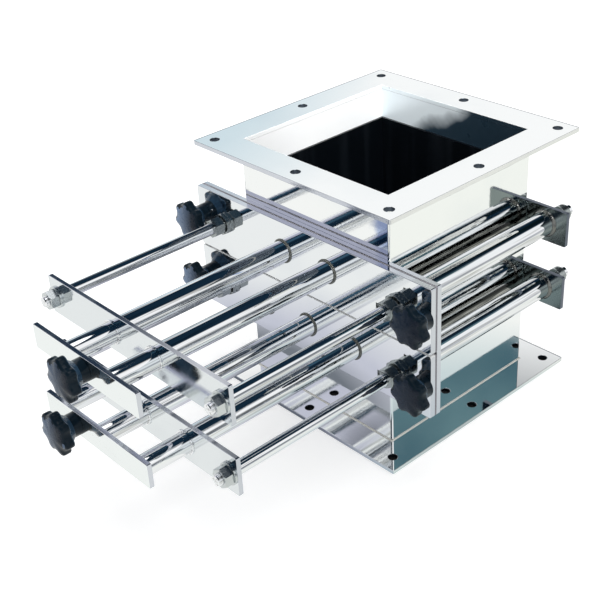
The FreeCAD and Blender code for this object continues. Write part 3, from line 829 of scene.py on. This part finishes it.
upper_left_knob = star_knob("upper_left_star", -knob_reach, cover_front, upper_height)
knob_list = [(upper_left_knob, "upper_left_clamp_knob", "upper_left_clamp_knob")]
for title, x, height in (("upper_right", knob_reach, upper_height),
                         ("lower_left", -knob_reach, lower_height),
                         ("lower_right", knob_reach, lower_height)):
    twin = copy_of(upper_left_knob, title + "_star", (x + knob_reach, 0, height - upper_height))
    knob_list.append((twin, title + "_clamp_knob", title + "_clamp_knob"))
outer_strap_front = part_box("upper_outer_strap")[0].y
outer_strap_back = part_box("upper_outer_strap")[1].y
for tier, x, height in (("upper", 0.0, upper_height), ("lower", -tube_pitch / 2, lower_height)):
    shift = (x + knob_reach, outer_strap_front - cover_front, height - upper_height)
    twin = copy_of(upper_left_knob, tier + "_pull_star", shift)
    knob_list.append((twin, tier + "_core_carrier", tier + "_pull_knob"))
for piece, body, node in knob_list:
    fit(piece, body, "knob_plastic", node)
stud_steel = steel_finish("stud steel", (0.62, 0.64, 0.66), (0.50, 0.52, 0.54), 0.2, 0.1, 1.0, 0.5)
for node in ("clamp_studs", "upper_pull_screw", "lower_pull_screw"):
    dress(node, stud_steel)


# Guide tubes and rear straps
# A tube beside the chute houses each guide rod. The tubes end in a strap behind the chute, in
# which plastic bushes carry the rods.
tube_mirror = steel_finish("tube mirror", (0.88, 0.89, 0.91), (0.82, 0.84, 0.87), 0.02, 0.03, 0.15, 0.3)
tube_tree = tube_mirror.node_tree
# Painted reflection: fine dark streaks along the tubes.
reflected_streaks = add_noise(tube_tree, add_stretch(tube_tree, places_on(tube_mirror), (420, 9, 420)), 1.0, 3.0)
tint(tube_mirror, add_range(tube_tree, reflected_streaks, 0.50, 0.72, 0.0, 0.8), (0.36, 0.36, 0.35))


def at_corners(piece, ending):
    """The piece at the upper left rod and copies at the other three, by corner."""
    corners = {"upper_left": piece}
    for title, (x, z) in zip(("upper_right", "lower_left", "lower_right"), all_rods[1:]):
        corners[title] = copy_of(piece, title + ending, (x + rod_reach, 0, z - upper_height))
    return corners


guide_tube_radius = 0.014
tube_start, tube_end = (corner.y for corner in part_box("upper_left_guide_tube"))
tube = turned("upper_left_rod_tube", first_x, first_z,
              [(tube_start, guide_tube_bore), (tube_start, guide_tube_radius),
               (tube_end, guide_tube_radius), (tube_end, guide_tube_bore)])
soften(tube, turned_bevel)
tube.data.materials.append(tube_mirror)
for title, piece in at_corners(tube, "_rod_tube").items():
    fit(piece, "housing", "polished_steel", title + "_guide_tube")

tube_weld_steel = steel_finish("tube weld steel", (0.20, 0.20, 0.19), (0.12, 0.12, 0.12), 0.2, 0.1, 1.0, 0.5)
fillet_inside = guide_tube_radius + 0.0001
fillet = turned("tube_weld_1", first_x, first_z,
                [(tube_end - 0.0030, fillet_inside), (tube_end - 0.0026, 0.0148),
                 (tube_end - 0.0012, 0.0160), (tube_end, 0.0166), (tube_end, fillet_inside)])
bpy.ops.object.shade_smooth_by_angle(angle=math.radians(40))
fillet.data.materials.append(tube_weld_steel)
for piece in at_places(fillet, "tube_weld_", all_rods):
    fit(piece, "housing", "polished_steel")

# Rear straps: a darker copy of the polished steel, painted shade.
shaded_rear_strap_steel = steel_finish("shaded rear strap steel", (0.24, 0.28, 0.28), (0.18, 0.21, 0.21),
                                0.15, 0.1, 0.6, 0.5)
bush_plastic = moulded("bush plastic", 200, 2.0, (0.010, 0.010, 0.012), (0.018, 0.018, 0.020), 0.4, 0.55)
bush_radius = 0.009
bush_rim = 0.01175
rear_start, rear_end = (corner.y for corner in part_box("upper_rear_strap"))
bush_front = rear_start - 0.004
for tier, rods in (("upper", upper_rods), ("lower", lower_rods)):
    plate = front_plate(tier + "_rear_bar", tier + "_rear_strap", [(rods, bush_radius)])
    soften(plate, plate_bevel)
    finish_plate(plate, 1, shaded_rear_strap_steel, shaded_edge)
    fit(plate, "housing", "polished_steel", tier + "_rear_strap")
bush = turned("rear_bush_1", first_x, first_z,
              [(bush_front, rod_bore), (bush_front, bush_rim), (rear_start, bush_rim),
               (rear_start, bush_radius), (rear_end, bush_radius), (rear_end, rod_bore)])
soften(bush, small_bevel)
bush.data.materials.append(bush_plastic)
for piece in at_places(bush, "rear_bush_", all_rods):
    fit(piece, "housing", "bush_plastic", "rear_bushes")


# Drawers
# In each tier the closed sleeves are welded through the inner strap, and a guide rod is bolted to
# each end of it. Nuts and washers hold the rods, and a collar on each rod's rear end is the stop.

def at_tubes(piece, ending):
    """The first upper piece and its copies at the other tubes, with their tiers and numbers."""
    placed = []
    for tier, places in (("upper", upper_tubes), ("lower", lower_tubes)):
        for number, (x, z) in enumerate(places, start=1):
            shift = (x - tube_x, 0, z - upper_height)
            twin = copy_of(piece, tier + ending + str(number), shift) if any(shift) else piece
            placed.append((twin, tier, number))
    return placed


# Inner straps: a darker copy of the strap steel, painted shade.
inner_strap_steel = steel_finish("inner strap steel", (0.80, 0.83, 0.85), (0.72, 0.75, 0.78),
                                 0.05, 0.05, 0.3, 0.5)
sleeve_radius = 0.0125
sleeve_bore = 0.0115
sleeve_rim = 0.0135
tip_radius = 0.001
thread_hole_radius = 0.00625
strap_front, strap_back = (corner.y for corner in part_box("upper_inner_strap"))
sleeve_front, sleeve_tip = (corner.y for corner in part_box("upper_sleeve_1"))
sleeve_floor = sleeve_tip - 0.002
for tier, tubes, rods, height in tiers:
    plate = front_plate(tier + "_inner_bar", tier + "_inner_strap",
                        [(tubes, sleeve_radius), (rods, thread_hole_radius)])
    soften(plate, plate_bevel)
    finish_plate(plate, 1, inner_strap_steel, cut_edge)
    fit(plate, tier + "_drawer", "polished_steel", tier + "_inner_strap")

sleeve = turned("upper_sleeve_tube_1", tube_x, upper_height,
                [(sleeve_front, sleeve_bore), (sleeve_front, sleeve_rim), (strap_front, sleeve_rim),
                 (strap_front, sleeve_radius), (sleeve_tip - 0.0015, sleeve_radius), (sleeve_tip, 0.011),
                 (sleeve_tip, tip_radius), (sleeve_floor, tip_radius), (sleeve_floor, sleeve_bore)])
open_alone(sleeve)


def in_tip(edge):
    """True for an edge of the small open ring in the middle of the sleeve's end."""
    reaches = [math.hypot(point.co.x - tube_x, point.co.z - upper_height) for point in edge.verts]
    return max(reaches) < tip_radius + 0.0001


pick(sleeve, "EDGE", in_tip)
bpy.ops.mesh.merge(type="COLLAPSE")
bpy.ops.object.mode_set(mode="OBJECT")
soften(sleeve, turned_bevel)
sleeve.data.materials.append(tube_mirror)
for piece, tier, number in at_tubes(sleeve, "_sleeve_tube_"):
    fit(piece, tier + "_drawer", "polished_steel", tier + "_sleeve_" + str(number))

rod_radius = 0.007
thread_radius = 0.006
thread_pitch = 0.00125
rod_front, rod_end = (corner.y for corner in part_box("upper_left_guide_rod"))
thread = [(rod_front, thread_radius - 0.0008), (rod_front + 0.0005, thread_radius - 0.0004)]
thread_count = 14
for number in range(thread_count):
    ridge = rod_front + 0.0008 + thread_pitch * number
    thread += [(ridge, thread_radius), (ridge + 0.0002, thread_radius),
               (ridge + thread_pitch / 2, thread_radius - 0.0007)]
thread_end = rod_front + 0.0008 + thread_pitch * thread_count
outline = thread + [(thread_end, thread_radius), (strap_back, thread_radius), (strap_back, rod_radius),
                    (rod_end - 0.0008, rod_radius), (rod_end, rod_radius - 0.0008)]
rod = turned("upper_left_rod", first_x, first_z, outline, hollow=False)
bpy.ops.object.shade_smooth_by_angle(angle=math.radians(20))
rod.data.materials.append(tube_mirror)
for title, piece in at_corners(rod, "_rod").items():
    fit(piece, title.split("_")[0] + "_drawer", "polished_steel", title + "_guide_rod")

rod_nut_flats = 0.019
washer_radius = 0.012
collar_radius = 0.010
grub_screw_radius = 0.0025
washer_front = strap_front - 0.0025
nut_front = washer_front - 0.010
collar_start, collar_end = (corner.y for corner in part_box("upper_stop_collars"))
rod_nut = hexagon("upper_rod_nut_1", first_x, first_z, rod_nut_flats, nut_front, washer_front)
drill(rod_nut, [(first_x, (nut_front + washer_front) / 2, first_z)], thread_radius)
soften(rod_nut, turned_bevel)
rod_washer = turned("upper_rod_washer_1", first_x, first_z,
                    [(washer_front, thread_hole_radius), (washer_front, washer_radius),
                     (strap_front, washer_radius), (strap_front, thread_hole_radius)])
soften(rod_washer, turned_bevel)
collar = turned("upper_stop_collar_1", first_x, first_z,
                [(collar_start, rod_radius), (collar_start, collar_radius),
                 (collar_end, collar_radius), (collar_end, rod_radius)])
collar_top = (first_x, (collar_start + collar_end) / 2, first_z + collar_radius)
drill(collar, [collar_top], grub_screw_radius, 0.01, (0, 0, 0))
soften(collar, turned_bevel)
nut_steel = steel_finish("nut steel", (0.64, 0.67, 0.68), (0.44, 0.47, 0.48), 0.14, 0.1, 0.6, 0.4)
for part, title, node, finish in ((rod_nut, "rod_nut_", "rod_nuts", nut_steel),
                                  (rod_washer, "rod_washer_", "rod_washers", nut_steel),
                                  (collar, "stop_collar_", "stop_collars", hexagon_steel)):
    part.data.materials.append(finish)
    part.data.materials.append(finish)
    copies = [(part, "upper")]
    for tier, number, (x, z) in (("upper", 2, upper_rods[1]), ("lower", 1, lower_rods[0]),
                                 ("lower", 2, lower_rods[1])):
        name = tier + "_" + title + str(number)
        copies.append((copy_of(part, name, (x - first_x, 0, z - first_z)), tier))
    for piece, tier in copies:
        fit(piece, tier + "_drawer", "polished_steel", tier + "_" + node)


# Core carriers
# In each tier the magnet cores are fixed to the outer strap. Each core is a polished tube that
# slides in its sleeve and is sealed at its rear end.
outer_strap_steel = steel_finish("outer strap steel", (0.90, 0.93, 0.93), (0.84, 0.88, 0.88),
                                 0.05, 0.04, 0.3, 0.4)
core_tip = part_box("upper_magnet_core_1")[1].y
core_radius = 0.01145
core_chamfer = 0.001
screw_hole_radius = 0.004
screw_head_radius = 0.0075
past_strap = 0.001
for tier in ("upper", "lower"):
    plate = front_plate(tier + "_outer_bar", tier + "_outer_strap", [])
    low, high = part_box(tier + "_pull_screw")
    screw_x, screw_z = (low.x + high.x) / 2, (low.z + high.z) / 2
    sink = turned("sink", screw_x, screw_z,
                  [(outer_strap_front - past_strap, screw_hole_radius),
                   (outer_strap_back - 0.0035, screw_hole_radius),
                   (outer_strap_back, screw_head_radius),
                   (outer_strap_back + past_strap, screw_head_radius)], hollow=False)
    cut(plate, sink)
    soften(plate, turned_bevel)
    finish_plate(plate, 1, outer_strap_steel, cut_edge)
    fit(plate, tier + "_core_carrier", "polished_steel", tier + "_outer_strap")
core = turned("upper_core_1", tube_x, upper_height,
              [(outer_strap_back, core_radius), (core_tip - core_chamfer, core_radius),
               (core_tip, core_radius - core_chamfer)], hollow=False)
bpy.ops.object.shade_smooth_by_angle(angle=math.radians(20))
core.data.materials.append(tube_mirror)
for piece, tier, number in at_tubes(core, "_core_"):
    fit(piece, tier + "_core_carrier", "core_steel", tier + "_magnet_core_" + str(number))


# Studio
# The object stands on a white floor in a white studio with a dark ceiling, which the steel mirrors.
# A lavender panel and a blue grey one stand at the left, and a teal one at the back on the right.
# The floor carries painted shade: it looks darker in the steel where the object shades it, and it is near
# black under the bottom flange.
studio_white = (1.0, 1.0, 1.0)
world = bpy.data.worlds.new("studio")
world.use_nodes = True
bpy.context.scene.world = world
sky = world.node_tree
direction = sky.nodes.new("ShaderNodeTexCoord").outputs["Generated"]


def panel_mask(towards, half_angle, softness):
    """1 inside a round panel in the given direction, 0 outside it."""
    towards = Vector(towards).normalized()
    dot = sky.nodes.new("ShaderNodeVectorMath")
    dot.operation = "DOT_PRODUCT"
    sky.links.new(direction, dot.inputs[0])
    dot.inputs[1].default_value = towards
    outer = math.cos(math.radians(half_angle + softness))
    inner = math.cos(math.radians(half_angle - softness))
    return add_range(sky, dot.outputs["Value"], outer, inner)


clouds = add_range(sky, add_noise(sky, direction, 1.5, 2.0), 0.4, 0.75)
mirrored = add_mix(sky, clouds, (1.0, 1.0, 1.0), (0.90, 0.94, 0.95))
blotches = add_range(sky, add_noise(sky, direction, 14, 3.0), 0.35, 0.65)
teal = add_mix(sky, blotches, (0.060, 0.130, 0.165), (0.130, 0.235, 0.260))
panels = [((-0.823, 0.514, 0.242), 12, 2.5, (0.64, 0.76, 0.82)),
          ((-0.800, 0.255, 0.543), 13, 1.5, (0.02, 0.04, 0.07)),
          ((-0.350, 0.420, 0.837), 22, 3, (0.007, 0.022, 0.042)),
          ((0.050, 0.580, 0.813), 28, 3, (0.007, 0.022, 0.042)),
          ((0.10, 0.80, 0.60), 13, 4, (0.003, 0.008, 0.011)),
          ((0.000, -0.700, 0.714), 46, 3, (0.007, 0.022, 0.042)),
          ((-0.100, -0.583, 0.806), 9, 5, (0.045, 0.105, 0.160)),
          ((0.87, 0.48, 0.05), 11, 4, (0.20, 0.22, 0.24)),
          ((-0.620, -0.560, 0.550), 13, 3, (0.55, 0.56, 0.66)),
          ((-0.550, -0.557, 0.622), 1.6, 0.9, (0.16, 0.17, 0.20)),
          ((0.517, 0.617, 0.593), 5.5, 1, teal)]
for towards, half_angle, softness, colour in panels:
    mirrored = add_mix(sky, panel_mask(towards, half_angle, softness), mirrored, colour)
path = sky.nodes.new("ShaderNodeLightPath")
diffuse_light = (0.75, 0.75, 0.75)
lit = add_mix(sky, path.outputs["Is Glossy Ray"], diffuse_light, mirrored)
seen = add_mix(sky, path.outputs["Is Camera Ray"], lit, studio_white)
sky.links.new(seen, sky.nodes["Background"].inputs["Color"])

floor_size = 8.0
bpy.ops.object.select_all(action="DESELECT")
bpy.ops.mesh.primitive_plane_add(size=floor_size)
floor = newest("floor")
floor_white, floor_shader, floor_place = new_material("floor white")
floor_tree = floor_white.node_tree
floor_shader.inputs["Roughness"].default_value = 0.6
floor_rays = floor_tree.nodes.new("ShaderNodeLightPath").outputs
in_mirror = floor_rays["Is Glossy Ray"]
floor_parts = split_place(floor_tree, floor_place)
floor_x = floor_parts["X"]
floor_y = floor_parts["Y"]
# Painted shade: as the steel mirrors it, the floor darkens in an oval round the object and most near its
# middle. Far to the right it is grey.
squares = []
for floor_part, shade_middle, shade_reach in ((floor_x, -0.08, 0.42), (floor_y, -0.05, 0.30)):
    from_shade = add_math(floor_tree, "SUBTRACT", floor_part, shade_middle)
    share = add_math(floor_tree, "DIVIDE", from_shade, shade_reach)
    squares.append(add_math(floor_tree, "MULTIPLY", share, share))
shade_distance = add_math(floor_tree, "SQRT", add_math(floor_tree, "ADD", *squares))
to_right = add_range(floor_tree, floor_x, 0.1, 0.4)
far_right = add_range(floor_tree, floor_x, 0.52, 0.75)
in_shade = add_range(floor_tree, shade_distance, 0.65, 1.0, 1.0, 0.0)
in_deep_shade = add_range(floor_tree, shade_distance, 0.40, 0.62, 1.0, 0.0)
right_shade = add_range(floor_tree, floor_x, 0.05, 0.15)
shade_colour = add_mix(floor_tree, right_shade, (0.60, 0.61, 0.69), (0.58, 0.67, 0.68))
floor_mirrored = add_mix(floor_tree, to_right, (0.91, 0.92, 0.90), (0.88, 0.90, 0.85))
for mask, colour in ((far_right, (0.42, 0.44, 0.47)), (in_shade, shade_colour),
                     (in_deep_shade, (0.15, 0.17, 0.20))):
    floor_mirrored = add_mix(floor_tree, mask, floor_mirrored, colour)
# Painted shadow: under the bottom flange the floor is near black, both as seen and in the steel.
from_middle = add_math(floor_tree, "MAXIMUM", add_math(floor_tree, "ABSOLUTE", floor_x),
                       add_math(floor_tree, "ABSOLUTE", floor_y))
beside_flange = add_math(floor_tree, "GREATER_THAN", from_middle, flange_half - 0.0015)
floor_mirrored = add_mix(floor_tree, beside_flange, (0.01, 0.01, 0.01), floor_mirrored)
floor_seen = add_mix(floor_tree, beside_flange, (0.02, 0.02, 0.02), (0.9, 0.9, 0.9))
floor_colour = add_mix(floor_tree, in_mirror, floor_seen, (0.0, 0.0, 0.0))
floor_glow = add_mix(floor_tree, in_mirror, (1.0, 1.0, 1.0), floor_mirrored)
lift = add_math(floor_tree, "MULTIPLY", beside_flange, 0.45)
seen_glow = add_math(floor_tree, "MULTIPLY", lift, floor_rays["Is Camera Ray"])
floor_tree.links.new(floor_colour, floor_shader.inputs["Base Color"])
floor_tree.links.new(floor_glow, floor_shader.inputs["Emission Color"])
glow_strength = add_math(floor_tree, "ADD", seen_glow, in_mirror)
floor_tree.links.new(glow_strength, floor_shader.inputs["Emission Strength"])
floor.data.materials.append(floor_white)

key_lamp = bpy.data.lights.new("key lamp", "AREA")
key_lamp.energy = 12
key_lamp.size = 1.5
chute_lamp = bpy.data.lights.new("chute lamp", "SPOT")
chute_lamp.energy = 80
chute_lamp.spot_size = math.radians(16)
chute_lamp.spot_blend = 0.6
chute_lamp.shadow_soft_size = 0.1
for lamp, place, aim in ((key_lamp, Vector((0, -0.1, 2.5)), Vector((0, -0.09, 0.1))),
                         (chute_lamp, Vector((0.9, -0.5, 1.1)), Vector((-0.07, 0.03, 0.28)))):
    holder = bpy.data.objects.new(lamp.name, lamp)
    bpy.context.scene.collection.objects.link(holder)
    holder.location = place
    holder.rotation_euler = (aim - place).to_track_quat("-Z", "Y").to_euler()


# Camera
# It stands to the front right and looks down at about 30 degrees, as in the photograph.
camera_place = Vector((0.8091, -0.8365, 0.7840))
camera_azimuth = math.radians(49.178)
camera_elevation = math.radians(30.545)
camera_roll = math.radians(-3.545)
camera_data = bpy.data.cameras.new("camera")
camera_data.lens = 67.79
camera_data.sensor_width = 36
camera = bpy.data.objects.new("camera", camera_data)
bpy.context.scene.collection.objects.link(camera)
turn = Matrix.Rotation(camera_azimuth, 4, "Z") @ Matrix.Rotation(math.pi / 2 - camera_elevation, 4, "X")
camera.matrix_world = Matrix.Translation(camera_place) @ turn @ Matrix.Rotation(camera_roll, 4, "Z")
bpy.context.scene.camera = camera
bpy.context.scene.view_settings.view_transform = "Standard"
